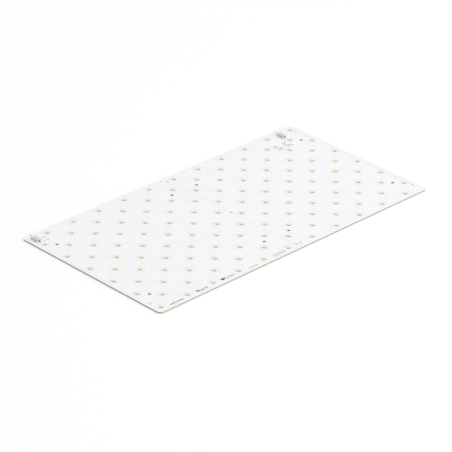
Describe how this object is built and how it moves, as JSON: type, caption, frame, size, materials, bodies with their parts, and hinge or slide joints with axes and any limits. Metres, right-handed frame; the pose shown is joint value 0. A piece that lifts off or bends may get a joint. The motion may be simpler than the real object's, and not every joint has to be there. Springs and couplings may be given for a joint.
{
  "type": "led module",
  "caption": "Flat rectangular LED area module: white circuit board with LEDs on a staggered lattice, screw holes and two wire terminals.",
  "frame": {"origin": "middle of the board's underside", "axes": "+X along the long edge, +Y along the short edge towards the terminals, +Z out of the lit face"},
  "size_m": [0.36, 0.18, 0.004],
  "materials": {
    "laminate": "satin white solder mask on an olive glass-epoxy laminate",
    "coated_copper": "copper under satin white solder mask",
    "tinned_pad": "bare tinned copper",
    "led_body": "matt white moulding",
    "lead_frame": "silver plate",
    "chip": "polished die",
    "phosphor": "yellow phosphor in clear silicone",
    "solder": "tin solder",
    "terminal_housing": "light-grey moulded thermoplastic",
    "terminal_contact": "tinned copper alloy"
  },
  "bodies": {
    "root": {"circuit_board": "laminate", "feed_track": "coated_copper", "return_track": "coated_copper", "temperature_pad": "tinned_pad", "string_1_links": "coated_copper", "string_2_links": "coated_copper", "string_3_links": "coated_copper", "string_4_links": "coated_copper", "string_5_links": "coated_copper", "string_6_links": "coated_copper", "string_1_led_bodies": "led_body", "string_2_led_bodies": "led_body", "string_3_led_bodies": "led_body", "string_4_led_bodies": "led_body", "string_5_led_bodies": "led_body", "string_6_led_bodies": "led_body", "string_1_lead_frames": "lead_frame", "string_2_lead_frames": "lead_frame", "string_3_lead_frames": "lead_frame", "string_4_lead_frames": "lead_frame", "string_5_lead_frames": "lead_frame", "string_6_lead_frames": "lead_frame", "string_1_chips": "chip", "string_2_chips": "chip", "string_3_chips": "chip", "string_4_chips": "chip", "string_5_chips": "chip", "string_6_chips": "chip", "string_1_phosphor": "phosphor", "string_2_phosphor": "phosphor", "string_3_phosphor": "phosphor", "string_4_phosphor": "phosphor", "string_5_phosphor": "phosphor", "string_6_phosphor": "phosphor", "string_1_solder": "solder", "string_2_solder": "solder", "string_3_solder": "solder", "string_4_solder": "solder", "string_5_solder": "solder", "string_6_solder": "solder", "left_terminal_housing": "terminal_housing", "left_terminal_contact": "terminal_contact", "left_terminal_solder": "solder", "right_terminal_housing": "terminal_housing", "right_terminal_contact": "terminal_contact", "right_terminal_solder": "solder"}
  },
  "joints": []
}
